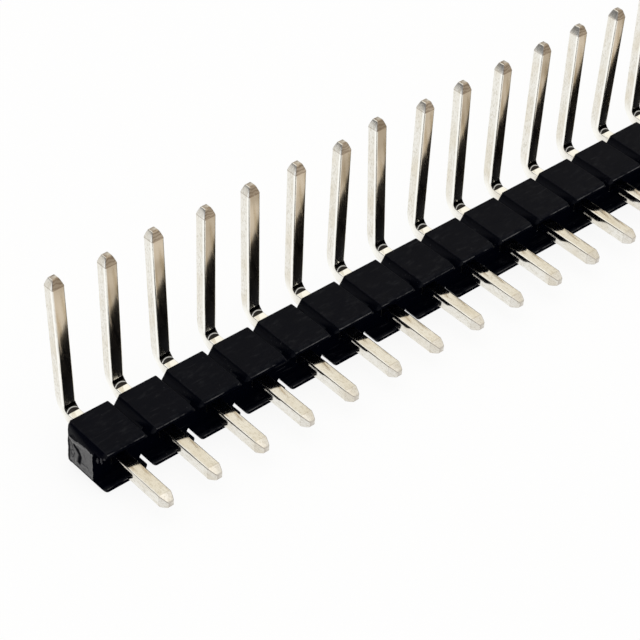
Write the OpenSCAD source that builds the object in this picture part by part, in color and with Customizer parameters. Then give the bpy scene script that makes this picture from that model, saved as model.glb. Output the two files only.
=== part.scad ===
// Breakaway pin header strip, one row, with its long legs bent up behind the body.
// Origin: bottom face of the body, under pin 1 and halfway through the body's depth.
// +X runs along the strip from the snapped end, -Y is where the straight tails come out,
// +Z is the way the bent posts stand. All sizes are in millimetres.

/* [Strip] */
// Number of pin positions
positions = 20; // [2:1:40]
// Distance from one pin to the next
pitch = 2.54; // [1.8:0.01:5.08]

/* [Body] */
// Depth of the body, front to back
body_depth = 2.54; // [1.6:0.01:4]
// Height of the body, bottom to top
body_height = 2.25; // [2.05:0.01:4]
// Width of a break notch where it opens on the top or the bottom
notch_width = 0.56; // [0.2:0.01:0.8]
// Depth of a break notch
notch_depth = 0.41; // [0.1:0.01:0.6]
// Thickness of the rail above and below the front channel
rail_thickness = 0.3; // [0.15:0.01:0.5]
// Depth of the front channel, back from the front plane
channel_depth = 0.62; // [0.3:0.01:1]
// Radius of the front corners of each rail, beside the notches
rail_corner_r = 0.14; // [0.02:0.01:0.2]
// Radius of the long front edges of the body, top and bottom
rail_edge_r = 0.15; // [0.02:0.01:0.3]

/* [Pins] */
// Side of the square pins
pin_side = 0.62; // [0.4:0.01:0.7]
// Gap left all round a pin in its hole
hole_clearance = 0; // [0:0.005:0.05]
// Length of a straight tail in front of the body
tail_length = 2.95; // [1.5:0.05:8]
// Distance from the back of the body to the middle of an upright post
post_setback = 1.6; // [1:0.05:4]
// Height of the post tips over the middle of the straight tails
post_reach = 7.15; // [4:0.05:14]
// Lean of the posts away from the body, which the bend leaves as it springs back
post_lean = 2; // [0:0.5:5]
// Inner radius of the bend
bend_r = 0.3; // [0.1:0.01:0.6]
// Length of the tapered tip at both ends of a pin
tip_length = 0.4; // [0.1:0.01:0.8]
// Width of the flat at the very end of a tip
tip_flat = 0.3; // [0.1:0.01:0.38]

/* [Hidden] */
// Small leans that single posts took on in use: [pin, along the strip, away from the body], in degrees
leaning_posts = [
    [1, -1.5, 1], [2, -1.5, -0.5], [3, -1.5, 1], [4, -0.5, -0.5], [5, -1, 0], [6, -0.5, -0.5], [7, 0, -1],
    [8, -0.5, 2.5], [9, 0.5, -0.5], [10, -0.5, 0], [11, 0.5, 0], [12, 1.5, 0], [13, 1.5, 0.5], [14, 1.5, -1],
    [16, -0.5, 0.5], [17, 0.5, -0.5], [19, -0.5, 0]
];

front_y = -body_depth / 2;
back_y = body_depth / 2;
wall_y = front_y + channel_depth;
pin_z = body_height / 2;
bend_y = back_y + post_setback - pin_side / 2 - bend_r;
bend_z = pin_z + pin_side / 2 + bend_r;
strip_start = -pitch / 2;
strip_end = strip_start + positions * pitch;
notch_half = notch_width / 2;
channel_height = body_height - 2 * rail_thickness;
overcut = 1;
curve_steps = 48;

function pin_name(number) = str("pin_", number < 10 ? "0" : "", number);
function lean_of(number) =
    let (found = [for (entry = leaning_posts) if (entry[0] == number) [entry[1], entry[2]]])
    len(found) > 0 ? found[0] : [0, 0];

PINS = [for (number = [1 : positions]) pin_name(number)];

// Square bar that stands on the XY plane and ends in a four-sided taper.
module tapered_bar(length) {
    module outline() {
        polygon([
            [-pin_side / 2, 0], [pin_side / 2, 0], [pin_side / 2, length - tip_length],
            [tip_flat / 2, length], [-tip_flat / 2, length], [-pin_side / 2, length - tip_length]
        ]);
    }
    intersection() {
        rotate([90, 0, 0]) linear_extrude(pin_side, center = true) outline();
        rotate([90, 0, 90]) linear_extrude(pin_side, center = true) outline();
    }
}

// Moves a pin's own shape to its place in the strip, rolled about its tail by its lean.
module at_pin(number) {
    translate([(number - 1) * pitch, 0, pin_z]) rotate([0, lean_of(number)[0], 0])
        translate([0, 0, -pin_z]) children();
}

module pin(number) {
    bend_angle = 90 - post_lean - lean_of(number)[1];
    color([0.83, 0.79, 0.72]) at_pin(number) {
        translate([0, bend_y, pin_z]) rotate([90, 0, 0]) tapered_bar(bend_y - front_y + tail_length);
        translate([0, bend_y, bend_z]) rotate([0, 90, 0]) {
            rotate_extrude(angle = bend_angle, $fn = curve_steps)
                translate([bend_r, -pin_side / 2]) square(pin_side);
            rotate([0, 0, bend_angle]) translate([bend_r + pin_side / 2, 0, 0]) rotate([-90, 0, 0])
                tapered_bar(post_reach - pin_side / 2 - bend_r);
        }
    }
}

// Front view of the body: one block for each position, with a break notch above and below each joint.
module body_outline() {
    starts = [for (number = [0 : positions - 1]) strip_start + number * pitch];
    lower_edge = [for (x = starts) each [
        [x, notch_depth], [x + notch_half, 0], [x + pitch - notch_half, 0]
    ]];
    upper_edge = [for (x = starts) each [
        [x, body_height - notch_depth], [x + notch_half, body_height], [x + pitch - notch_half, body_height]
    ]];
    last = len(upper_edge) - 1;
    polygon(concat(
        lower_edge, [[strip_end, notch_depth], [strip_end, body_height - notch_depth]],
        [for (i = [last : -1 : 0]) upper_edge[i]]
    ));
}

// Outline of what is cut away to round a square corner that lies at the origin and points to -X, -Y.
module corner_waste(radius) {
    difference() {
        translate([-overcut / 4, -overcut / 4]) square(radius + overcut / 4);
        translate([radius, radius]) circle(r = radius, $fn = curve_steps);
    }
}

// What rounds one front corner of a rail, along the flank of a notch that rises from the origin.
module corner_round() {
    flank_length = norm([notch_half, notch_depth]);
    rotate([0, -atan2(notch_half, notch_depth), 0]) translate([0, 0, -overcut / 2])
        linear_extrude(flank_length + overcut) corner_waste(rail_corner_r);
}

// What rounds the long lower front edge of the body.
module long_edge_round() {
    translate([strip_start - overcut, front_y, 0]) rotate([90, 0, 90])
        linear_extrude(positions * pitch + 2 * overcut) corner_waste(rail_edge_r);
}

// Square hole for a pin, from the channel's wall out through the back.
module pin_hole() {
    side = pin_side + 2 * hole_clearance;
    translate([-side / 2, wall_y - overcut, pin_z - side / 2]) cube([side, body_depth + 2 * overcut, side]);
}

module housing() {
    color([0.08, 0.08, 0.09]) difference() {
        rotate([90, 0, 0]) linear_extrude(body_depth, center = true) body_outline();
        translate([strip_start - overcut, front_y - overcut, rail_thickness])
            cube([positions * pitch + 2 * overcut, channel_depth + overcut, channel_height]);
        for (level = [0, 1])
            translate([0, 0, pin_z]) mirror([0, 0, level]) translate([0, 0, -pin_z]) {
                long_edge_round();
                for (number = [1 : positions], side = [0, 1])
                    translate([(number - 1) * pitch, front_y, 0]) mirror([side, 0, 0])
                        translate([strip_start + notch_half, 0, 0]) corner_round();
            }
        for (number = [1 : positions]) at_pin(number) pin_hole();
    }
}

housing();
for (number = [1 : positions]) pin(number);
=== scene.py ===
import math

import bmesh
import bpy
from mathutils import Matrix, Vector, noise


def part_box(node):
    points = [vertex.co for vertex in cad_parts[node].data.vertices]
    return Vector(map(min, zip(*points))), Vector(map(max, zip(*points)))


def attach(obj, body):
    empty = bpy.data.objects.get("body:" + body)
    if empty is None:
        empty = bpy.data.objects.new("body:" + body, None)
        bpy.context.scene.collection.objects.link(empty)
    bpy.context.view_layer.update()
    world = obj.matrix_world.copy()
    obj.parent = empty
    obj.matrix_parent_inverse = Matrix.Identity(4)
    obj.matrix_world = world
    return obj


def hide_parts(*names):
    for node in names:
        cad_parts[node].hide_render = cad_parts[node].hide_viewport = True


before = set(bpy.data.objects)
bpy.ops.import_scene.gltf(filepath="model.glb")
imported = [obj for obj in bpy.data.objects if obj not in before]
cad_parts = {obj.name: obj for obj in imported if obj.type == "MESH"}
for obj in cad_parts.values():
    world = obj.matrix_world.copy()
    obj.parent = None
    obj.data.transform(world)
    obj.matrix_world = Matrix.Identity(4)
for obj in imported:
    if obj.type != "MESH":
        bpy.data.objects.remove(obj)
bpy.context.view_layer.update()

mm = 0.001
sameWithin = 1e-4 * mm  # points nearer to each other than this are one
pinNodes = sorted(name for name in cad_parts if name.startswith("pin_"))
bodyLow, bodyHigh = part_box("housing")
pitch = (bodyHigh.x - bodyLow.x) / len(pinNodes)
pinLevel = (bodyLow.z + bodyHigh.z) / 2  # height of the straight tails
print("frame loaded:", len(pinNodes), "positions")


# helpers for meshes

def makeObject(name, mesh, *materials):
    piece = bpy.data.objects.new(name, mesh)
    bpy.context.scene.collection.objects.link(piece)
    for material in materials:
        mesh.materials.append(material)
    return piece


def bakeModifiers(piece):
    # swaps the mesh for its modified form, so that what follows works on the final surface
    bpy.context.view_layer.update()
    shaped = piece.evaluated_get(bpy.context.evaluated_depsgraph_get())
    finished = bpy.data.meshes.new_from_object(shaped)
    piece.modifiers.clear()
    piece.data = finished


def shadeSmooth(piece, areaWeight=50):
    # smooth bends with flat faces kept flat
    for polygon in piece.data.polygons:
        polygon.use_smooth = True
    weighted = piece.modifiers.new("weightedNormals", "WEIGHTED_NORMAL")
    weighted.weight = areaWeight
    weighted.keep_sharp = True


def smoothStep(value, low, high):
    share = min(1.0, max(0.0, (value - low) / (high - low)))
    return share * share * (3 - 2 * share)


# helpers for materials

def addNode(tree, kind, inputs=None, **settings):
    # an input that is a socket is linked, any other value is set
    node = tree.nodes.new("ShaderNode" + kind)
    for name, value in settings.items():
        setattr(node, name, value)
    for name, value in (inputs or {}).items():
        if isinstance(value, bpy.types.NodeSocket):
            tree.links.new(value, node.inputs[name])
        else:
            node.inputs[name].default_value = value
    return node


def readAttribute(tree, name, output="Vector"):
    return addNode(tree, "Attribute", attribute_name=name).outputs[output]


def threeParts(tree, vector):
    return addNode(tree, "SeparateXYZ", {0: vector}).outputs


def mathOf(tree, operation, first, second=0.0, third=0.0):
    return addNode(tree, "Math", {0: first, 1: second, 2: third}, operation=operation).outputs[0]


def multiply(tree, first, second):
    return mathOf(tree, "MULTIPLY", first, second)


def larger(tree, first, second):
    return mathOf(tree, "MAXIMUM", first, second)


def multiplyAdd(tree, first, second, added):
    return mathOf(tree, "MULTIPLY_ADD", first, second, added)


def fade(tree, value, low, high, start=0.0, end=1.0):
    # 'start' below low, 'end' above high, smooth in between
    return addNode(tree, "MapRange", {
        "Value": value, "From Min": low, "From Max": high, "To Min": start, "To Max": end,
    }, interpolation_type="SMOOTHSTEP").outputs["Result"]


def mixColour(tree, factor, first, second):
    return addNode(tree, "Mix", {0: factor, 6: first, 7: second}, data_type="RGBA").outputs[2]


def stretch(tree, vector, scale, turn=(0, 0, 0)):
    return addNode(tree, "Mapping", {"Vector": vector, "Scale": scale, "Rotation": turn}).outputs[0]


def noiseOf(tree, vector, scale, detail=3.0, roughness=0.5):
    return addNode(tree, "TexNoise", {
        "Vector": vector, "Scale": scale, "Detail": detail, "Roughness": roughness,
    }).outputs["Fac"]


def newGroup(name, inputs, outputs):
    tree = bpy.data.node_groups.new(name, "ShaderNodeTree")
    for label, kind, value in inputs:
        socket = tree.interface.new_socket(name=label, in_out="INPUT", socket_type="NodeSocket" + kind)
        if value is not None:
            socket.default_value = value
    for label, kind in outputs:
        tree.interface.new_socket(name=label, in_out="OUTPUT", socket_type="NodeSocket" + kind)
    return tree, tree.nodes.new("NodeGroupInput").outputs, tree.nodes.new("NodeGroupOutput").inputs


def useGroup(tree, group, **inputs):
    return addNode(tree, "Group", inputs, node_tree=group).outputs


def newMaterial(name):
    material = bpy.data.materials.new(name)
    material.use_nodes = True
    material.node_tree.nodes.clear()
    return material, material.node_tree


def finishMaterial(tree, inputs):
    shader = addNode(tree, "BsdfPrincipled", inputs)
    addNode(tree, "OutputMaterial", {"Surface": shader.outputs[0]})


def millimetrePlace(tree):
    place = addNode(tree, "TexCoord").outputs["Object"]
    return addNode(tree, "VectorMath", {0: place, "Scale": 1 / mm}, operation="SCALE").outputs[0]


# effects that several materials share

def makeGrainGroup():
    # fine uneven surface: Height for bump, Patch for slow changes of gloss and colour
    tree, given, made = newGroup("surfaceGrain", [
        ("Place", "Vector", None), ("Fineness", "Float", 10.0), ("Patchiness", "Float", 1.0),
    ], [("Height", "Float"), ("Patch", "Float")])
    fine = noiseOf(tree, given["Place"], given["Fineness"], detail=4.0, roughness=0.6)
    patch = noiseOf(tree, given["Place"], given["Patchiness"], detail=3.0, roughness=0.55)
    tree.links.new(fine, made["Height"])
    tree.links.new(fade(tree, patch, low=0.35, high=0.65), made["Patch"])
    return tree


def makeDustGroup():
    # small separate specks and lint
    tree, given, made = newGroup("dustSpecks", [
        ("Place", "Vector", None), ("Spacing", "Float", 3.0), ("Amount", "Float", 0.2),
    ], [("Mask", "Float")])
    cells = addNode(tree, "TexVoronoi", {"Vector": given["Place"], "Scale": given["Spacing"]})
    chosen = addNode(tree, "SeparateColor", {0: cells.outputs["Color"]}).outputs[0]
    largestSpeck = 0.08
    size = multiply(tree, fade(tree, chosen, low=0.6, high=1.0), largestSpeck)
    speck = mathOf(tree, "LESS_THAN", cells.outputs["Distance"], size)
    tree.links.new(multiply(tree, speck, given["Amount"]), made["Mask"])
    return tree


def makeEdgeWearAndHighlightGroup():
    # breaks an edge mask up into stretches: rubbed wear on some edges, a painted highlight on others
    tree, given, made = newGroup("edgeWearAndHighlight", [
        ("Edge", "Float", 0.0), ("Place", "Vector", None),
        ("Length", "Float", 1.0), ("Amount", "Float", 1.0),
    ], [("Mask", "Float")])
    stretches = noiseOf(tree, given["Place"], given["Length"], detail=4.0, roughness=0.65)
    rubbed = multiply(tree, given["Edge"], fade(tree, stretches, low=0.38, high=0.62))
    tree.links.new(multiply(tree, rubbed, given["Amount"]), made["Mask"])
    return tree


grainGroup = makeGrainGroup()
dustGroup = makeDustGroup()
edgeWearAndHighlightGroup = makeEdgeWearAndHighlightGroup()


# pins: square plated bar, bent up behind the housing

pinSettings = {
    "side": 0.62 * mm,
    "cornerRadius": 0.07 * mm,
    "cornerSteps": 4,
    "bendInside": 0.30 * mm,  # inner radius of the bend
    "bendRings": 20,
    "bulge": 0.06,  # how much wider the inside of the bend gets
    "thinned": 0.42,  # how much the outside of the bend is drawn in
    "thinReach": 0.45 * mm,  # beyond the bend, both ways
    "insideDepth": 0.25,  # share of the corner's radius within which a point still lies on the inside
    "tipLength": 0.40 * mm,
    "tipFlat": 0.30 * mm,
    "tipCurve": 0.82,  # below 1 the tip is domed
    "tipCorner": 0.035 * mm,
    "tipFade": (0.8, 1.2),  # shares of the tip's length between which the marks of the tip end
    "tipRings": (0, 0.02, 0.05, 0.09, 0.3, 0.6, 0.88, 0.95, 1.0, 1.05, 1.12),
    "shoulderRound": 0.006 * mm,
    "capRound": 0.03 * mm,
    "capDrop": 0.6,
    "ringSpacing": 0.25 * mm,
    "endDepth": 0.02 * mm,  # how deep the end flat is looked for
    "streakShift": 40.0,  # each pin gets its own stretch of the streak pattern
    "bandReach": (0.75 * mm, 0.35 * mm),  # painted highlight band between body and bend
    "highlightFade": 0.8,  # how much the painted highlight on the sides fades towards the inside of the bend
    "bodyShadeReach": 0.9 * mm,  # how far the painted shade beside the body reaches, in front of the body and behind it
    "warmFrom": 0.3 * mm,  # above the bend
    "warmTo": 2.0 * mm,
    "warmEdge": (-0.02 * mm, 0.03 * mm),
    "warmOnTail": 0.15,
}


def endFlat(node, axis, sign):
    # centre and outward direction of the small flat at one end of a pin
    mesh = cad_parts[node].data
    reach = max(sign * polygon.center[axis] for polygon in mesh.polygons)
    inmost = reach - pinSettings["endDepth"]
    flats = [polygon for polygon in mesh.polygons if sign * polygon.center[axis] > inmost]
    corners = [mesh.vertices[index].co for polygon in flats for index in polygon.vertices]
    middle = Vector((
        (min(corner[i] for corner in corners) + max(corner[i] for corner in corners)) / 2 for i in range(3)
    ))
    return middle, flats[0].normal.copy()


class PinPath:
    # straight tail, round bend, straight post: the middle line of one pin
    def __init__(self, node):
        self.tailEnd, outward = endFlat(node, 1, -1)
        self.postEnd, self.upward = endFlat(node, 2, 1)
        self.inward = -outward
        self.radius = pinSettings["bendInside"] + pinSettings["side"] / 2
        self.across = self.inward.cross(self.upward).normalized()
        self.rise = self.across.cross(self.inward).normalized()
        self.turn = self.inward.angle(self.upward)
        reach = (self.postEnd - self.tailEnd).dot(self.rise) / self.upward.dot(self.rise)
        knee = self.postEnd - self.upward * reach
        tangent = self.radius * math.tan(self.turn / 2)
        self.tailLength = (knee - self.tailEnd).length - tangent
        self.bendEnd = self.tailLength + self.radius * self.turn
        self.length = self.bendEnd + reach - tangent

    def at(self, distance):
        # point on the middle line, direction of travel, share of the bend
        if distance <= self.tailLength:
            return self.tailEnd + self.inward * distance, self.inward, 0.0
        if distance >= self.bendEnd:
            return self.postEnd - self.upward * (self.length - distance), self.upward, 0.0
        angle = (distance - self.tailLength) / self.radius
        hub = self.tailEnd + self.inward * self.tailLength + self.rise * self.radius
        outside = self.inward * math.sin(angle) - self.rise * math.cos(angle)
        along = self.inward * math.cos(angle) + self.rise * math.sin(angle)
        return hub + outside * self.radius, along, math.sin(math.pi * angle / self.turn) ** 2


def pinStations(path):
    # distances along the pin at which a ring is placed
    s = pinSettings
    nearEnd = [s["tipLength"] * share for share in s["tipRings"]]
    stations = nearEnd + [path.length - distance for distance in nearEnd]
    stations += [
        path.tailLength + (path.bendEnd - path.tailLength) * step / s["bendRings"]
        for step in range(s["bendRings"] + 1)
    ]
    for low, high in ((nearEnd[-1], path.tailLength), (path.bendEnd, path.length - nearEnd[-1])):
        count = round((high - low) / s["ringSpacing"])
        stations += [low + (high - low) * step / count for step in range(1, count)]
    return sorted(stations)


def halfWidthAt(fromEnd):
    # half the width of the bar, down the taper and round its two shoulders
    s = pinSettings
    full = s["side"] / 2
    small = s["tipFlat"] / 2
    taper = small + (full - small) * (fromEnd / s["tipLength"]) ** s["tipCurve"]
    eased = (taper + full - math.sqrt((taper - full) ** 2 + s["shoulderRound"] ** 2)) / 2
    lost = max(0.0, 1 - fromEnd / s["capRound"])
    return eased - s["capRound"] * s["capDrop"] * (1 - math.sqrt(1 - lost * lost))


def barOutline(half, corner):
    # points round a rounded square, each with 1 in the middle of a corner and 0 on the flats
    steps = pinSettings["cornerSteps"]
    points = []
    for quarter in range(4):
        for step in range(steps + 1):
            angle = math.pi / 2 * (quarter + step / steps)
            turnAt = math.pi / 2 * quarter + math.pi / 4
            centre = Vector((math.copysign(half - corner, math.cos(turnAt)),
                             math.copysign(half - corner, math.sin(turnAt))))
            point = centre + corner * Vector((math.cos(angle), math.sin(angle)))
            points.append((point, math.sin(math.pi * step / steps)))
        points.append((half * Vector((math.cos(angle), math.sin(angle))), 0.0))
    return points


def buildPin(node, number, material):
    s = pinSettings
    path = PinPath(node)
    bendStart, bendEnd = path.tailLength, path.bendEnd
    vertices, places, marks, warmth, bends, bright = [], [], [], [], [], []
    for distance in pinStations(path):
        fromEnd = min(distance, path.length - distance)
        centre, along, bend = path.at(distance)
        inside = path.across.cross(along)
        turned = math.degrees(path.inward.angle(along))
        half = halfWidthAt(fromEnd)
        tipShare = 1 - smoothStep(fromEnd, *(s["tipLength"] * share for share in s["tipFade"]))
        corner = s["cornerRadius"] * (1 - tipShare) + s["tipCorner"] * tipShare
        fromBody = max(bodyLow.y - centre.y, centre.y - bodyHigh.y, 0.0)
        # painted shade beside the body
        bodyShade = 1 - smoothStep(fromBody, 0, s["bodyShadeReach"])
        reach = s["thinReach"]
        pressed = smoothStep(distance, bendStart - reach, bendStart + reach)
        pressed *= 1 - smoothStep(distance, bendEnd - reach, bendEnd + reach)
        band = smoothStep(distance, *(bendStart - far for far in s["bandReach"]))
        band *= 1 - smoothStep(distance, bendEnd - reach, bendEnd)
        onPost = smoothStep(distance, bendEnd + s["warmFrom"], bendEnd + s["warmTo"])
        warm = s["warmOnTail"] + (1 - s["warmOnTail"]) * onPost
        outline = barOutline(half, corner)
        for point, edge in outline:
            wider = 1 + bend * s["bulge"] * point.y / half
            thinner = 1 - pressed * s["thinned"] if point.y < 0 else 1
            vertices.append(centre + path.across * point.x * wider + inside * point.y * thinner)
            places.append((point.x / mm + s["streakShift"] * number, point.y / mm, distance / mm))
            marks.append((edge, tipShare, bodyShade))
            # painted shade on the front and back faces, stronger up the post
            warmth.append(warm * smoothStep(abs(point.y) - abs(point.x), *s["warmEdge"]))
            onInside = point.y > half - corner * s["insideDepth"]
            bends.append((point.x / half, turned, bend if onInside else 0.0))
            # painted highlight: the band on the inside, and the pressed sides of the bend
            bright.append(band if onInside else pressed * (1 - s["highlightFade"] * max(0.0, point.y) / half))
    count = len(outline)
    rings = len(vertices) // count
    faces = [
        (ring * count + k, ring * count + (k + 1) % count,
         (ring + 1) * count + (k + 1) % count, (ring + 1) * count + k)
        for ring in range(rings - 1) for k in range(count)
    ]
    faces.append(tuple(reversed(range(count))))
    faces.append(tuple(range((rings - 1) * count, rings * count)))
    mesh = bpy.data.meshes.new("platedPin")
    mesh.from_pydata(vertices, [], faces)
    for name, values in (("barPlace", places), ("barMarks", marks), ("bendPlace", bends)):
        layer = mesh.attributes.new(name, "FLOAT_VECTOR", "POINT")
        layer.data.foreach_set("vector", [part for value in values for part in value])
    for name, values in (("paintedShadeFace", warmth), ("paintedBendHighlight", bright)):
        mesh.attributes.new(name, "FLOAT", "POINT").data.foreach_set("value", values)
    piece = makeObject(f"plated_{node}", mesh, material)
    shadeSmooth(piece)
    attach(piece, "root")
    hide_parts(node)
    return path


platingSettings = {
    "metal": (0.87, 0.85, 0.79, 1),
    "streakStretch": (1, 1, 0.06),  # the third number is along the bar
    "streakScale": 9.0,
    "clouded": (0.76, 0.70, 0.58, 1),
    "cloudStretch": (1, 1, 0.5),
    "cloudScale": 1.6,
    "cloudFade": (0.35, 0.75),
    "cloudShare": 0.8,
    "speckle": (0.62, 0.58, 0.49, 1),
    "speckleStretch": (1, 1, 0.45),
    "speckleScale": 14.0,
    "speckleFade": (0.46, 0.68),
    "speckleShare": 0.75,
    "paintedShadeFace": (0.63, 0.53, 0.40, 1),  # painted shade on the front and back faces of the posts, standing in for a dimmer reflection
    # the same painted shade, darker in places
    "warmDark": (0.42, 0.34, 0.24, 1),
    "warmScale": 0.35,
    "warmFade": (0.42, 0.66),
    "edgeHighlight": (0.98, 0.96, 0.89, 1),
    "edgeHighlightShare": 0.75,  # painted highlight on the edges
    "paintedHighlight": (1.0, 0.99, 0.94, 1),  # painted highlight where the bending tool pressed, on the band and on the strip
    "ridge": (0.13, 0.18),  # painted highlight strip beside the front edges of a post, in mm from its middle
    "ridgeSide": (0.90, 0.98),  # shares of half the width, to keep the strip off the front
    "postFrom": (50, 88),  # degrees round the bend, for marks that only a post has
    "tarnish": (0.16, 0.10, 0.06, 1),
    "tipTarnish": 0.10,
    "tipEdgeTarnish": 0.5,
    "rings": 44.0,  # radians for each millimetre
    "ringWaver": 14.0,
    "ringWaverScale": 3.5,
    "ringFade": (-0.2, 0.9),  # heights of the wave between which a ring darkens
    "ringTarnish": (0.20, 0.55),
    "shoulderFade": (0.14, 0.25),  # the shoulder's own measure is a quarter at most
    "shoulderTarnish": 0.35,
    "shoulderOnTail": 0.4,
    "rubTarnish": 0.85,
    "bodyShade": 0.25,  # painted shade beside the body
    "dust": (0.8, 0.78, 0.74, 1),
    # painted reflection inside the bend: its dark colour
    "paintedBendDark": (0.02, 0.018, 0.016, 1),
    "bendDarkFrom": (2, 6),  # degrees round the bend
    "bendDarkTo": (80, 88),
    "archShade": 0.55,
    "archHeight": 28,
    "archInside": (12, 16),
    "archOutside": (20, 24),
    "roughness": 0.05,
    "streakRougher": 0.06,
    "tipRougher": 0.20,
    "warmRougher": 0.05,
    "edgeRougher": 0.12,
    "bendRougher": 0.03,
    "grainHeight": 0.35,
    "bump": 0.15,
    "bumpDepth": 0.01 * mm,
}


def makePinMaterial():
    s = platingSettings
    material, tree = newMaterial("tinPlatedBrass")
    place = readAttribute(tree, "barPlace")
    edge, tip, nearBody = threeParts(tree, readAttribute(tree, "barMarks"))
    across, turned, bent = threeParts(tree, readAttribute(tree, "bendPlace"))
    warm = readAttribute(tree, "paintedShadeFace", "Fac")
    pressed = readAttribute(tree, "paintedBendHighlight", "Fac")
    _, inward, along = threeParts(tree, place)
    # long streaks left by drawing the wire, and slow clouding of the plating
    streaks = stretch(tree, place, s["streakStretch"])
    streaks = noiseOf(tree, streaks, s["streakScale"], detail=5.0, roughness=0.65)
    clouds = noiseOf(tree, stretch(tree, place, s["cloudStretch"]), s["cloudScale"])
    speckles = stretch(tree, place, s["speckleStretch"])
    speckles = noiseOf(tree, speckles, s["speckleScale"], roughness=0.7)
    grain = useGroup(tree, grainGroup, Place=place, Fineness=26.0, Patchiness=2.2)
    rub = useGroup(tree, edgeWearAndHighlightGroup, Edge=edge, Place=place, Length=1.8, Amount=0.25)["Mask"]
    dust = useGroup(tree, dustGroup, Place=place, Spacing=2.2, Amount=0.25)["Mask"]
    cloudy = fade(tree, clouds, *s["cloudFade"], end=s["cloudShare"])
    shade = mixColour(tree, cloudy, s["metal"], s["clouded"])
    speckled = fade(tree, speckles, *s["speckleFade"], end=s["speckleShare"])
    shade = mixColour(tree, speckled, shade, s["speckle"])
    # painted shade on the front and back faces, darker in places
    shadePatches = noiseOf(tree, place, s["warmScale"], detail=2.0)
    warmShade = mixColour(tree, fade(tree, shadePatches, *s["warmFade"]), s["paintedShadeFace"], s["warmDark"])
    shade = mixColour(tree, warm, shade, warmShade)
    # painted highlights on the edges, on the pressed bend and on a strip beside the front edges of the post
    onPost = fade(tree, turned, *s["postFrom"])
    onSide = fade(tree, mathOf(tree, "ABSOLUTE", across), *s["ridgeSide"])
    strip = multiply(tree, multiply(tree, fade(tree, inward, *s["ridge"]), onSide), onPost)
    shade = mixColour(tree, multiply(tree, edge, s["edgeHighlightShare"]), shade, s["edgeHighlight"])
    shade = mixColour(tree, larger(tree, strip, pressed), shade, s["paintedHighlight"])
    # dull tip with uneven dark rings, and a thin line round the shoulder where the taper begins
    dullTip = multiply(tree, tip, multiplyAdd(tree, edge, s["tipEdgeTarnish"], s["tipTarnish"]))
    waver = noiseOf(tree, place, s["ringWaverScale"])
    wave = multiplyAdd(tree, waver, s["ringWaver"], multiply(tree, along, s["rings"]))
    rings = fade(tree, mathOf(tree, "SINE", wave), *s["ringFade"], *s["ringTarnish"])
    dullTip = multiplyAdd(tree, multiply(tree, tip, warm), rings, dullTip)
    shoulder = multiply(tree, tip, mathOf(tree, "SUBTRACT", 1.0, tip))
    shoulder = fade(tree, shoulder, *s["shoulderFade"], end=s["shoulderTarnish"])
    shoulder = multiply(tree, shoulder, fade(tree, turned, *s["postFrom"], start=s["shoulderOnTail"]))
    dullTip = mathOf(tree, "ADD", dullTip, shoulder)
    tarnished = larger(tree, multiply(tree, rub, s["rubTarnish"]), dullTip)
    colour = mixColour(tree, tarnished, shade, s["tarnish"])
    # painted shade beside the body, in the colour of the painted shade on the faces
    colour = mixColour(tree, multiply(tree, nearBody, s["bodyShade"]), colour, s["paintedShadeFace"])
    colour = mixColour(tree, dust, colour, s["dust"])
    # painted reflection across the inside of the bend: a dark crescent with a paler arch over it, dark again
    # above the arch
    arch = multiply(tree, multiply(tree, across, across), s["archHeight"])
    arched = mathOf(tree, "ADD", turned, mathOf(tree, "SUBTRACT", arch, s["archHeight"]))
    under = fade(tree, arched, *s["archInside"], start=1.0, end=s["archShade"])
    under = multiply(tree, fade(tree, turned, *s["bendDarkFrom"]), under)
    over = fade(tree, turned, *s["bendDarkTo"], start=1.0, end=0.0)
    over = multiply(tree, fade(tree, arched, *s["archOutside"]), over)
    paintedBendDark = multiply(tree, larger(tree, under, over), fade(tree, bent, low=0.0, high=0.02))
    colour = mixColour(tree, paintedBendDark, colour, s["paintedBendDark"])
    gloss = multiplyAdd(tree, streaks, s["streakRougher"], s["roughness"])
    for mask, rougher in (
        (tip, "tipRougher"), (warm, "warmRougher"), (edge, "edgeRougher"), (bent, "bendRougher"),
    ):
        gloss = multiplyAdd(tree, mask, s[rougher], gloss)
    height = multiplyAdd(tree, grain["Height"], s["grainHeight"], streaks)
    bump = addNode(tree, "Bump", {"Height": height, "Strength": s["bump"], "Distance": s["bumpDepth"]})
    finishMaterial(tree, {
        "Base Color": colour, "Metallic": 1.0, "Roughness": gloss, "Normal": bump.outputs[0],
    })
    return material


pinMaterial = makePinMaterial()
pinPaths = [buildPin(node, number, pinMaterial) for number, node in enumerate(pinNodes, 1)]
print("pins built:", len(pinPaths))


# housing: moulded strip with break notches, snapped off at its near end

housingSettings = {
    "notchHalf": 0.28 * mm,  # half the width of a break notch where it opens, above and below
    "underNotchHalf": 0.26 * mm,
    "notchDepth": 0.41 * mm,
    "rail": 0.30 * mm,  # thickness of the rails above and below the channel
    "channel": 0.62 * mm,  # depth of the channel in the front
    "topEdge": 0.15 * mm,  # roundings, one for each kind of edge
    "underEdge": 0.04 * mm,
    "railCorner": 0.14 * mm,
    "flatEdge": 0.03 * mm,
    "underCorner": 0.09 * mm,
    "backCornerLeft": 0.13 * mm,
    "backCornerRight": 0.04 * mm,
    "backEdge": 0.02 * mm,
    "railInside": 0.05 * mm,
    "railInsideUnder": 0.12 * mm,
    "fineEdge": 0.03 * mm,
    "roundingSteps": 4,
    "roundedFrom": (0.985, 0.998),  # cosines, for faces that belong to a rounding
    "arrisLean": 76,  # how far from upright the strip of each rounding leans that gets the painted highlight
    "arrisFrom": (0.975, 0.99),
    "frontFrom": (0.9, 0.99),
    "frontRougher": 0.45,
    "flankFrom": (0.7, 0.8),
    "flankSmoother": 0.20,
    "shadedFrom": 0.97,
    "shadedRail": 0.9,  # share of the rail's thickness that the shaded copy of the plastic in the channel leaves
}

# lines on the torn end, across and up, in millimetres
grooveLine = ((0.51, 1.57), (0.33, 1.42), (0.21, 1.19), (0.25, 0.80))

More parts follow.
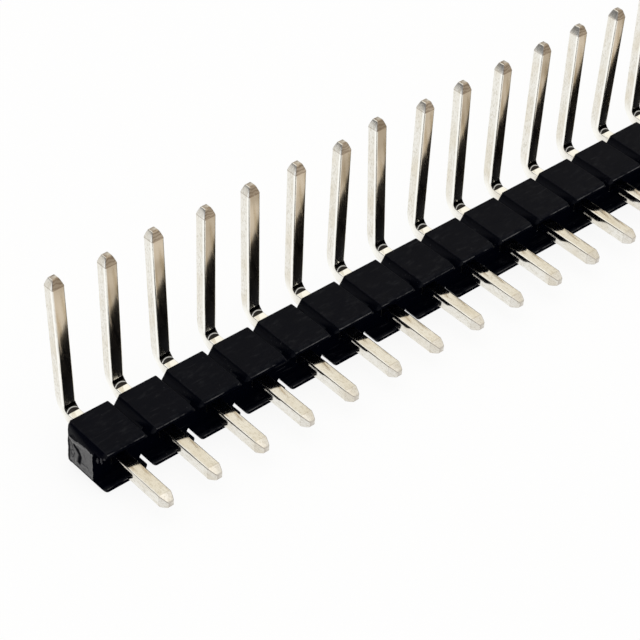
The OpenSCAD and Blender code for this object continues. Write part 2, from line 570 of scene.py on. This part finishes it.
breakSettings = {
    "spare": 0.12 * mm,  # how far the neck runs on before it is cut rough
    "cutterMargin": 0.3 * mm,
    "cutterLength": 1 * mm,
    "gridStep": 0.03 * mm,
    "depth": 0.02 * mm,  # the middle of the rough face, in from the plane of the break
    "coarse": 0.035 * mm,
    "coarseScale": 2.2,
    "coarseDetail": (1.0, 2.0, 4),  # exponent, lacunarity and octaves of the noise
    "fine": 0.012 * mm,
    "fineScale": 14,
    "seed": 7.3,
    "grooveDepth": 0.07 * mm,
    "grooveWidth": 0.045,
    "step": 0.03 * mm,  # how far the part behind the groove stands out
    "stepFade": (-0.05, 0.10),
    "backFrom": 0.85 * mm,  # where the face starts to turn away towards the back
    "backBeyond": 0.1 * mm,  # how far past the back it would reach its full turn
    "backTurn": 0.26 * mm,
    "backCurve": 1.5,
    "farShade": 0.10,  # how much darker the part behind the groove is
    "farFrom": (0.28, 0.42),
    "waver": 0.03,
    "waverScale": 7,
    "crackFade": 2.2,  # widths over which a crack or a lip fades out
    "lipFade": 2.5,
    # lines, half width in millimetres and strength
    "cracks": (
        (grooveLine, 0.070, 1.0),
        (((0.17, 0.87), (-0.29, 0.87)), 0.012, 0.7),
        (((0.57, 1.09), (0.62, 1.20), (0.70, 1.22), (0.77, 1.08), (0.77, 0.90), (0.70, 0.78), (0.62, 0.84),
          (0.57, 1.09)), 0.014, 0.8),
        (((0.70, 0.97), (0.70, 0.92)), 0.020, 0.9),
        (((0.97, 1.62), (0.94, 1.04), (0.93, 0.50)), 0.060, 1.0),
        (((0.90, 0.52), (0.74, 0.49), (0.56, 0.46)), 0.030, 0.9),
        (((0.88, 1.66), (0.74, 1.50), (0.66, 1.36)), 0.025, 0.8),
        (((-0.05, 1.40), (-0.15, 1.30)), 0.030, 0.25),
        (((-0.20, 0.96), (-0.33, 0.80)), 0.035, 0.25),
        (((0.90, 0.46), (0.56, 0.42), (-0.65, 0.41)), 0.045, 0.8),
    ),
    "lips": (
        (((0.96, 1.78), (0.55, 1.69), (0.20, 1.74)), 0.020, 0.8),
        (((0.20, 1.74), (-0.11, 1.80), (-0.66, 1.84)), 0.014, 0.5),
        (((0.46, 0.88), (0.46, 0.57)), 0.016, 0.7),
        (((0.84, 1.60), (0.82, 1.57)), 0.022, 1.0),
        (((0.15, 0.76), (-0.28, 0.76)), 0.020, 0.35),
        (((-0.62, 1.80), (-0.62, 0.48)), 0.012, 0.3),
    ),
}


def segmentPoints(centre, path):
    # the named corners of one position; side is -1 or 1 along the strip, level -1 below and 1 above
    s = housingSettings
    halfHeight = (bodyHigh.z - bodyLow.z) / 2
    wall = bodyLow.y + s["channel"]
    halfHole = pinSettings["side"] / 2
    points = {}
    for side in (-1, 1):
        for level in (-1, 1):
            notch = s["notchHalf"] if level > 0 else s["underNotchHalf"]
            railInset = notch * (1 - s["rail"] / s["notchDepth"])
            for name, inset, y, drop in (
                ("flatFront", notch, bodyLow.y, 0),
                ("flatBack", notch, bodyHigh.y, 0),
                ("railFront", railInset, bodyLow.y, s["rail"]),
                ("railWall", railInset, wall, s["rail"]),
                ("neckWall", 0, wall, s["notchDepth"]),
                ("neckBack", 0, bodyHigh.y, s["notchDepth"]),
            ):
                points[name, side, level] = Vector((
                    centre + side * (pitch / 2 - inset), y, pinLevel + level * (halfHeight - drop),
                ))
            corner = path.across * side * halfHole + path.rise * level * halfHole
            for name, y in (("holeWall", wall), ("holeBack", bodyHigh.y)):
                points[name, side, level] = Vector((centre + corner.x, y, pinLevel + corner.z))
    return points


def segmentFaces():
    faces = []
    for level in (-1, 1):
        for first, second in (
            ("flatFront", "flatBack"), ("flatFront", "railFront"), ("railFront", "railWall"),
            ("railWall", "holeWall"), ("flatBack", "holeBack"), ("holeWall", "holeBack"),
        ):
            faces.append([(first, -1, level), (first, 1, level), (second, 1, level), (second, -1, level)])
        for side in (-1, 1):
            names = ("flatFront", "railFront", "railWall", "neckWall", "neckBack", "flatBack")
            faces.append([(name, side, level) for name in names])
    for side in (-1, 1):
        for outer, neck, hole in (("railWall", "neckWall", "holeWall"), ("flatBack", "neckBack", "holeBack")):
            faces.append([
                (outer, side, 1), (neck, side, 1), (neck, side, -1),
                (outer, side, -1), (hole, side, -1), (hole, side, 1),
            ])
        faces.append([
            ("holeWall", side, 1), ("holeWall", side, -1), ("holeBack", side, -1), ("holeBack", side, 1),
        ])
    return faces


def segmentRoundings():
    # pairs of corners whose edge is rounded, and by how much
    s = housingSettings
    rounded = []
    for level in (-1, 1):
        for name, radius in (
            ("flatFront", s["topEdge"] if level > 0 else s["underEdge"]),
            ("flatBack", s["backEdge"]),
            ("railFront", s["railInside"] if level > 0 else s["railInsideUnder"]),
            ("holeWall", s["fineEdge"]), ("holeBack", s["fineEdge"]),
        ):
            rounded.append(((name, -1, level), (name, 1, level), radius))
        for side in (-1, 1):
            backCorner = s["backCornerLeft"] if side < 0 else s["backCornerRight"]
            for first, second, radius in (
                ("flatFront", "railFront", s["railCorner"]),
                ("flatFront", "flatBack", s["flatEdge"] if level > 0 else s["underCorner"]),
                ("railFront", "railWall", s["fineEdge"]), ("railWall", "neckWall", s["fineEdge"]),
                ("flatBack", "neckBack", backCorner),
            ):
                rounded.append(((first, side, level), (second, side, level), radius))
    for side in (-1, 1):
        for name in ("holeWall", "holeBack"):
            rounded.append(((name, side, 1), (name, side, -1), s["fineEdge"]))
    return rounded


def housingBody():
    s = housingSettings
    shape = bmesh.new()
    known = {}

    def corner(point):
        key = tuple(round(value / sameWithin) for value in point)
        if key not in known:
            known[key] = shape.verts.new(point)
        return known[key]

    rounded = []
    for number, path in enumerate(pinPaths):
        points = segmentPoints(bodyLow.x + pitch * (number + 0.5), path)
        for names in segmentFaces():
            shape.faces.new([corner(points[name]) for name in names])
        rounded += [(corner(points[a]), corner(points[b]), radius) for a, b, radius in segmentRoundings()]
        ends = [("neckWall", 1), ("neckWall", -1), ("neckBack", -1), ("neckBack", 1)]
        if number == 0:
            neck = [points[name, -1, level] for name, level in ends]
            outer = [point - Vector((breakSettings["spare"], 0, 0)) for point in neck]
            for k in range(4):
                shape.faces.new([corner(p) for p in (neck[k], neck[k - 1], outer[k - 1], outer[k])])
            shape.faces.new([corner(point) for point in outer])
        if number == len(pinPaths) - 1:
            cap = [corner(points[name, 1, level]) for name, level in ends]
            shape.faces.new(cap)
            rounded += [(cap[k - 1], cap[k], s["fineEdge"]) for k in range(4)]
    bmesh.ops.recalc_face_normals(shape, faces=shape.faces)
    widest = max(radius for _, _, radius in rounded)
    weight = shape.edges.layers.float.new("bevel_weight_edge")
    for first, second, radius in rounded:
        shape.edges.get((first, second))[weight] = radius / widest
    mesh = bpy.data.meshes.new("housing")
    shape.to_mesh(mesh)
    shape.free()
    return mesh, widest


def distanceTo(spot, line):
    # from a point to a line of several straight pieces
    nearest = math.inf
    for first, second in zip(line, line[1:]):
        start, run = Vector(first), Vector(second) - Vector(first)
        share = min(1.0, max(0.0, (spot - start).dot(run) / run.length_squared))
        nearest = min(nearest, (spot - start - run * share).length)
    return nearest


def breakDepth(y, z):
    # how far in from the plane of the break the torn face lies
    s = breakSettings
    spot = Vector((y / mm, z / mm, s["seed"]))
    rough = s["coarse"] * noise.fractal(spot * s["coarseScale"], *s["coarseDetail"])
    rough += s["fine"] * noise.noise(spot * s["fineScale"])
    fromGroove = distanceTo(spot.xy, grooveLine)
    groove = s["grooveDepth"] * math.exp(-(fromGroove / s["grooveWidth"]) ** 2)
    behind = smoothStep(spot.x - grooveLine[1][0], *s["stepFade"])
    turned = s["backTurn"] * smoothStep(y, s["backFrom"], bodyHigh.y + s["backBeyond"]) ** s["backCurve"]
    return s["depth"] + rough - s["step"] * behind + groove + turned


def breakCutter(material):
    # block whose inner side is the torn face; it is taken away from the housing
    s = breakSettings
    margin = s["cutterMargin"]
    lowY, highY = bodyLow.y - margin, bodyHigh.y + margin
    lowZ, highZ = bodyLow.z - margin, bodyHigh.z + margin
    countY = round((highY - lowY) / s["gridStep"])
    countZ = round((highZ - lowZ) / s["gridStep"])
    outer = bodyLow.x - s["cutterLength"]
    shape = bmesh.new()
    rows = []
    for j in range(countZ + 1):
        z = lowZ + (highZ - lowZ) * j / countZ
        rows.append([
            shape.verts.new((bodyLow.x + breakDepth(y, z), y, z))
            for y in (lowY + (highY - lowY) * i / countY for i in range(countY + 1))
        ])
    for below, above in zip(rows, rows[1:]):
        for i in range(countY):
            shape.faces.new((below[i], below[i + 1], above[i + 1], above[i]))
    rim = [edge for edge in shape.edges if edge.is_boundary]
    drawn = bmesh.ops.extrude_edge_only(shape, edges=rim)["geom"]
    for vertex in (item for item in drawn if isinstance(item, bmesh.types.BMVert)):
        vertex.co.x = outer
    outerRim = [
        item for item in drawn if isinstance(item, bmesh.types.BMEdge)
        and all(abs(end.co.x - outer) < sameWithin for end in item.verts)
    ]
    bmesh.ops.contextual_create(shape, geom=outerRim)
    bmesh.ops.recalc_face_normals(shape, faces=shape.faces)
    mesh = bpy.data.meshes.new("breakCutter")
    shape.to_mesh(mesh)
    shape.free()
    return makeObject("breakCutter", mesh, material)


def markHousing(mesh):
    # for the material: rounded edges, the arrises that get a painted highlight, and how much rougher a face
    # is
    s = housingSettings
    flank = Vector((s["notchDepth"], 0, s["notchHalf"])).normalized()
    flats = [Vector((1, 0, 0)), Vector((0, 1, 0)), Vector((0, 0, 1)), flank, Vector((-flank.x, 0, flank.z))]
    lean = math.radians(s["arrisLean"])
    arrisHighlight = Vector((0, -math.sin(lean), math.cos(lean)))
    layer = mesh.attributes.new("housingMarks", "FLOAT_VECTOR", "FACE")
    for polygon in mesh.polygons:
        straight = max(abs(polygon.normal.dot(flat)) for flat in flats)
        layer.data[polygon.index].vector = (
            1 - smoothStep(straight, *s["roundedFrom"]),
            smoothStep(polygon.normal.dot(arrisHighlight), *s["arrisFrom"]),
            s["frontRougher"] * smoothStep(-polygon.normal.y, *s["frontFrom"])
            - s["flankSmoother"] * smoothStep(abs(polygon.normal.x), *s["flankFrom"]),
        )


def strongest(spot, lines, fadeOver):
    return max(
        share * (1 - smoothStep(distanceTo(spot, line), width, width * fadeOver))
        for line, width, share in lines
    )


def markBreak(mesh):
    # for the material: dark cracks, and pale lips where the plastic was stretched before it tore
    s = breakSettings
    layer = mesh.attributes.new("breakMarks", "FLOAT_VECTOR", "POINT")
    for vertex in mesh.vertices:
        spot = Vector((vertex.co.y / mm, vertex.co.z / mm))
        waver = [noise.noise(Vector((*spot, seed)) * s["waverScale"]) for seed in (1, 5)]
        wavered = spot + s["waver"] * Vector(waver)
        layer.data[vertex.index].vector = (
            strongest(wavered, s["cracks"], s["crackFade"]),
            strongest(wavered, s["lips"], s["lipFade"]),
            s["farShade"] * smoothStep(spot.x, *s["farFrom"]),
        )


burrSettings = {
    "places": (  # in from the broken end, back from the front, up; then length, width and height
        ((0.03, 0.29, 1.83), (0.024, 0.050, 0.115)),
        ((0.06, 0.08, 1.93), (0.026, 0.050, 0.125)),
        ((0.17, 0.04, 2.00), (0.035, 0.060, 0.040)),
        ((0.06, 0.95, 1.88), (0.030, 0.090, 0.022)),
    ),
    "unevenness": 1.1,
    "lumpScale": 2.1,
    "lumpShift": 5,  # so that no two shreds are alike
    "shade": 1.0,
}


def buildBurrs(material):
    # shreds of plastic that stayed on the rail where the strip was snapped
    s = burrSettings
    shape = bmesh.new()
    for number, (place, size) in enumerate(s["places"]):
        middle = bodyLow + Vector(place) * mm
        shift = Vector((number * s["lumpShift"], 0, 0))
        for vertex in bmesh.ops.create_icosphere(shape, subdivisions=3, radius=1.0)["verts"]:
            uneven = 1 + s["unevenness"] * noise.noise(vertex.co * s["lumpScale"] + shift)
            vertex.co = middle + vertex.co * Vector(size) * mm * uneven
    mesh = bpy.data.meshes.new("endBurrs")
    shape.to_mesh(mesh)
    shape.free()
    piece = makeObject("end_burrs", mesh, material)
    layer = mesh.attributes.new("breakMarks", "FLOAT_VECTOR", "POINT")
    layer.data.foreach_set("vector", (0.0, 0.0, s["shade"]) * len(mesh.vertices))
    shadeSmooth(piece)
    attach(piece, "root")


def shadeChannel(mesh, channelSlot):
    # gives the faces that look forward, and the inside of the channel, a shaded copy of the plastic with
    # almost no gloss, so they stay dark as if in shade
    s = housingSettings
    wall = bodyLow.y + s["channel"]
    reach = (bodyHigh.z - bodyLow.z) / 2 - s["rail"] * s["shadedRail"]
    for polygon in mesh.polygons:
        inChannel = polygon.center.y < wall and abs(polygon.center.z - pinLevel) < reach
        if polygon.material_index == 0 and (inChannel or polygon.normal.y < -s["shadedFrom"]):
            polygon.material_index = channelSlot


def buildHousing(plastic, torn, channel):
    mesh, widest = housingBody()
    piece = makeObject("housing_strip", mesh, plastic, torn, channel)
    rounding = piece.modifiers.new("roundings", "BEVEL")
    rounding.limit_method = "WEIGHT"
    rounding.offset_type = "OFFSET"
    rounding.width = widest
    rounding.segments = housingSettings["roundingSteps"]
    rounding.use_clamp_overlap = False
    bakeModifiers(piece)
    cutter = breakCutter(torn)
    snap = piece.modifiers.new("snappedEnd", "BOOLEAN")
    snap.operation = "DIFFERENCE"
    snap.solver = "EXACT"
    snap.material_mode = "TRANSFER"
    snap.object = cutter
    bakeModifiers(piece)
    bpy.data.objects.remove(cutter)
    markHousing(piece.data)
    markBreak(piece.data)
    shadeChannel(piece.data, channelSlot=2)
    shadeSmooth(piece, areaWeight=80)
    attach(piece, "root")
    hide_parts("housing")
    return piece


plasticSettings = {
    "plastic": (0.0004, 0.0008, 0.0032, 1),
    "gloss": 0.050,
    "channelGloss": 0.005,  # shaded copy: the front and the channel get almost no gloss, as if in shade
    "rubbed": (0.045, 0.046, 0.050, 1),
    # painted highlight along the front roundings
    "arrisHighlight": (0.11, 0.11, 0.115, 1),
    "dust": (0.10, 0.10, 0.105, 1),
    "scratches": ((0.5, 0.35, 9.0), (-0.9, 0.5, 7.0), (1.35, 0.3, 11.0)),  # turn, scale along and across
    "scratchFade": (0.66, 0.73),
    "scratchShare": 0.30,
    "scuffStretch": (1.7, 5.0, 5.0),
    "scuffTurn": 0.2,
    "scuffFade": (0.50, 0.72),
    "scuffShare": 0.20,
    "roughness": 0.36,
    "patchRougher": 0.10,
    "wornRougher": -0.08,
    "scratchDepth": 0.8,
    "bump": 0.4,
    "bumpDepth": 0.012 * mm,
}


def makePlasticMaterial(name, specular):
    s = plasticSettings
    material, tree = newMaterial(name)
    place = millimetrePlace(tree)
    edge, arrisHighlight, rougher = threeParts(tree, readAttribute(tree, "housingMarks"))
    grain = useGroup(tree, grainGroup, Place=place, Fineness=30.0, Patchiness=1.1)
    # long thin scratches in three directions, in some places only
    scratch = 0.0
    for turn, along, across in s["scratches"]:
        lines = stretch(tree, place, (along, across, across), turn=(0, 0, turn))
        lines = noiseOf(tree, lines, scale=1.0, detail=2.0)
        scratch = larger(tree, scratch, fade(tree, lines, *s["scratchFade"]))
    somewhere = noiseOf(tree, place, scale=0.9, detail=2.0)
    scratch = multiply(tree, scratch, fade(tree, somewhere, low=0.48, high=0.66))
    # faint scuffs along the tops
    scuff = stretch(tree, place, s["scuffStretch"], turn=(0, 0, s["scuffTurn"]))
    scuff = noiseOf(tree, scuff, scale=1.0, detail=5.0, roughness=0.7)
    scuff = fade(tree, scuff, *s["scuffFade"], end=s["scuffShare"])
    somewhere = noiseOf(tree, place, scale=1.4)
    scuff = multiply(tree, scuff, fade(tree, somewhere, low=0.35, high=0.60, start=0.15))
    onTop = fade(tree, mathOf(tree, "ABSOLUTE", rougher), low=0.0, high=0.1, start=1.0, end=0.0)
    scuff = multiply(tree, scuff, onTop)
    rub = useGroup(tree, edgeWearAndHighlightGroup, Edge=edge, Place=place, Length=2.4, Amount=0.10)["Mask"]
    # painted highlight along the arris of each front rounding
    bright = useGroup(tree, edgeWearAndHighlightGroup, Edge=arrisHighlight, Place=place, Length=1.3, Amount=0.8)["Mask"]
    dust = useGroup(tree, dustGroup, Place=place, Spacing=3.6, Amount=0.3)["Mask"]
    worn = larger(tree, multiply(tree, scratch, s["scratchShare"]), larger(tree, rub, scuff))
    colour = mixColour(tree, worn, s["plastic"], s["rubbed"])
    colour = mixColour(tree, bright, colour, s["arrisHighlight"])
    colour = mixColour(tree, dust, colour, s["dust"])
    rough = multiplyAdd(tree, grain["Patch"], s["patchRougher"], s["roughness"])
    rough = mathOf(tree, "ADD", multiplyAdd(tree, worn, s["wornRougher"], rough), rougher)
    height = mathOf(tree, "SUBTRACT", grain["Height"], multiply(tree, scratch, s["scratchDepth"]))
    bump = addNode(tree, "Bump", {"Height": height, "Strength": s["bump"], "Distance": s["bumpDepth"]})
    finishMaterial(tree, {
        "Base Color": colour, "Roughness": rough, "Specular IOR Level": specular, "Normal": bump.outputs[0],
    })
    return material


tornSettings = {
    "torn": (0.185, 0.185, 0.19, 1),
    "dark": (0.045, 0.045, 0.05, 1),
    "pale": (0.30, 0.30, 0.30, 1),
    "dust": (0.25, 0.25, 0.25, 1),
    "patchShare": 0.30,
    "roughness": 0.5,
    "grainRougher": 0.2,
    "gloss": 0.05,
    "bump": 0.7,
    "bumpDepth": 0.03 * mm,
}


def makeTornMaterial():
    s = tornSettings
    material, tree = newMaterial("tornPlastic")
    place = millimetrePlace(tree)
    grain = useGroup(tree, grainGroup, Place=place, Fineness=16.0, Patchiness=3.0)
    dust = useGroup(tree, dustGroup, Place=place, Spacing=5.0, Amount=0.35)["Mask"]
    crack, pale, far = threeParts(tree, readAttribute(tree, "breakMarks"))
    dark = larger(tree, multiply(tree, grain["Patch"], s["patchShare"]), far)
    colour = mixColour(tree, dark, s["torn"], s["dark"])
    colour = mixColour(tree, pale, colour, s["pale"])
    colour = mixColour(tree, crack, colour, plasticSettings["plastic"])
    colour = mixColour(tree, dust, colour, s["dust"])
    rough = multiplyAdd(tree, grain["Height"], s["grainRougher"], s["roughness"])
    bump = addNode(tree, "Bump", {
        "Height": grain["Height"], "Strength": s["bump"], "Distance": s["bumpDepth"],
    })
    finishMaterial(tree, {
        "Base Color": colour, "Roughness": rough, "Specular IOR Level": s["gloss"], "Normal": bump.outputs[0],
    })
    return material


tornMaterial = makeTornMaterial()
housing = buildHousing(
    makePlasticMaterial("mouldedBlackPlastic", plasticSettings["gloss"]),
    tornMaterial,
    makePlasticMaterial("shadedBlackPlastic", plasticSettings["channelGloss"]),
)
buildBurrs(tornMaterial)
print("housing built:", len(housing.data.polygons), "faces")


# floor, lights and camera

floorSettings = {
    "size": 3.0,
    "gap": 0.002 * mm,
    "colour": (0.93, 0.93, 0.93, 1),
    "patches": (0.91, 0.91, 0.91, 1),
    "patchShare": 0.3,
    "roughness": 0.9,
    "gloss": 0.1,
    "bump": 0.1,
    "bumpDepth": 0.02 * mm,
    "paleShare": 0.89,  # share of plain white that the camera and mirrors see
}


def buildFloor():
    s = floorSettings
    material, tree = newMaterial("paleFloor")
    place = millimetrePlace(tree)
    grain = useGroup(tree, grainGroup, Place=place, Fineness=2.0, Patchiness=0.02)
    colour = mixColour(tree, multiply(tree, grain["Patch"], s["patchShare"]), s["colour"], s["patches"])
    bump = addNode(tree, "Bump", {
        "Height": grain["Height"], "Strength": s["bump"], "Distance": s["bumpDepth"],
    })
    matt = addNode(tree, "BsdfPrincipled", {
        "Base Color": colour, "Roughness": s["roughness"], "Specular IOR Level": s["gloss"],
        "Normal": bump.outputs[0],
    })
    white = addNode(tree, "Emission", {"Color": (1, 1, 1, 1), "Strength": 1.0})
    light = addNode(tree, "LightPath").outputs
    seen = larger(tree, light["Is Camera Ray"], light["Is Glossy Ray"])
    seen = larger(tree, seen, light["Is Transmission Ray"])
    share = multiply(tree, seen, s["paleShare"])
    both = addNode(tree, "MixShader", {0: share, 1: matt.outputs[0], 2: white.outputs[0]})
    addNode(tree, "OutputMaterial", {"Surface": both.outputs[0]})
    half = s["size"] / 2
    level = bodyLow.z - s["gap"]
    mesh = bpy.data.meshes.new("floor")
    corners = [(-half, -half, level), (half, -half, level), (half, half, level), (-half, half, level)]
    mesh.from_pydata(corners, [], [(0, 1, 2, 3)])
    makeObject("floor", mesh, material)


def fromAngles(azimuth, elevation):
    # direction from the object towards a lamp or the camera; azimuth 0 is the front, 90 the far end
    around, up = math.radians(azimuth), math.radians(elevation)
    return Vector((math.sin(around) * math.cos(up), -math.cos(around) * math.cos(up), math.sin(up)))


worldSettings = {
    "wall": (0.62, 0.61, 0.60, 1),
    "leftWall": (0.20, 0.20, 0.21, 1),
    "leftOf": (-0.55, -0.2),  # how far left a direction points where the wall is dim, and where it is not
    "wallTop": (0.30, 0.40),  # sines of the elevations between which the wall gives way to the dome
    "leftHigher": 0.38,  # how much higher the wall reaches on the far left
    "farLeftOf": (-0.74, -0.65),
    "dome": (1.04, 1.03, 1.0, 1),
    "panel": (0.985, 0.95, 0.86, 1),  # warmer part of the dome, overhead and towards the back of the far end
    "panelAzimuth": 125,
    "panelElevation": 45,
    "panelEdge": (0.895, 0.93),  # cosines of its outer and inner half angle
}


def buildWorld():
    s = worldSettings
    world = bpy.data.worlds.new("studio")
    world.use_nodes = True
    tree = world.node_tree
    tree.nodes.clear()
    towards = addNode(tree, "TexCoord").outputs["Generated"]
    right, _, up = threeParts(tree, towards)
    wall = mixColour(tree, fade(tree, right, *s["leftOf"]), s["leftWall"], s["wall"])
    aboveWall = mathOf(tree, "SUBTRACT", up, fade(tree, right, *s["farLeftOf"], s["leftHigher"], 0.0))
    isDome = fade(tree, aboveWall, *s["wallTop"])
    room = mixColour(tree, isDome, wall, s["dome"])
    nearness = addNode(tree, "VectorMath", {
        0: towards, 1: fromAngles(s["panelAzimuth"], s["panelElevation"]),
    }, operation="DOT_PRODUCT").outputs["Value"]
    room = mixColour(tree, fade(tree, nearness, *s["panelEdge"]), room, s["panel"])
    lit = addNode(tree, "Background", {"Color": room, "Strength": 1.0})
    white = addNode(tree, "Background", {"Color": (1, 1, 1, 1), "Strength": 1.0})
    seen = addNode(tree, "LightPath").outputs["Is Camera Ray"]
    both = addNode(tree, "MixShader", {0: seen, 1: lit.outputs[0], 2: white.outputs[0]})
    addNode(tree, "OutputWorld", {"Surface": both.outputs[0]})
    bpy.context.scene.world = world


lampSettings = {
    "topLamp": {"azimuth": -90, "elevation": 86, "distance": 0.35, "size": 0.36, "radiance": 0.45},
}


def buildLamps(target):
    for name, s in lampSettings.items():
        light = bpy.data.lights.new(name, "AREA")
        light.shape = "SQUARE"
        light.size = s["size"]
        light.energy = s["radiance"] * math.pi * s["size"] ** 2
        lamp = bpy.data.objects.new(name, light)
        bpy.context.scene.collection.objects.link(lamp)
        outward = fromAngles(s["azimuth"], s["elevation"])
        lamp.location = target + outward * s["distance"]
        lamp.rotation_euler = outward.to_track_quat("Z", "Y").to_euler()


cameraSettings = {
    "alongStrip": 12.68 * mm,  # the point aimed at, from the snapped end and from the front
    "fromFront": 0.92 * mm,
    "azimuth": -44.34,
    "elevation": 40.62,
    "roll": 4.21,
    "distance": 93.26 * mm,
    "lens": 119.58,
    "clipStart": 0.005,
}


def buildCamera():
    s = cameraSettings
    target = Vector((bodyLow.x + s["alongStrip"], bodyLow.y + s["fromFront"], bodyHigh.z))
    outward = fromAngles(s["azimuth"], s["elevation"])
    data = bpy.data.cameras.new("camera")
    data.lens = s["lens"]
    data.clip_start = s["clipStart"]
    camera = bpy.data.objects.new("camera", data)
    bpy.context.scene.collection.objects.link(camera)
    camera.location = target + outward * s["distance"]
    turned = outward.to_track_quat("Z", "Y").to_matrix() @ Matrix.Rotation(math.radians(s["roll"]), 3, "Z")
    camera.rotation_euler = turned.to_euler()
    bpy.context.scene.camera = camera
    return target


buildFloor()
buildWorld()
buildLamps(buildCamera())
bpy.context.scene.view_settings.view_transform = "Standard"
print("stage built")
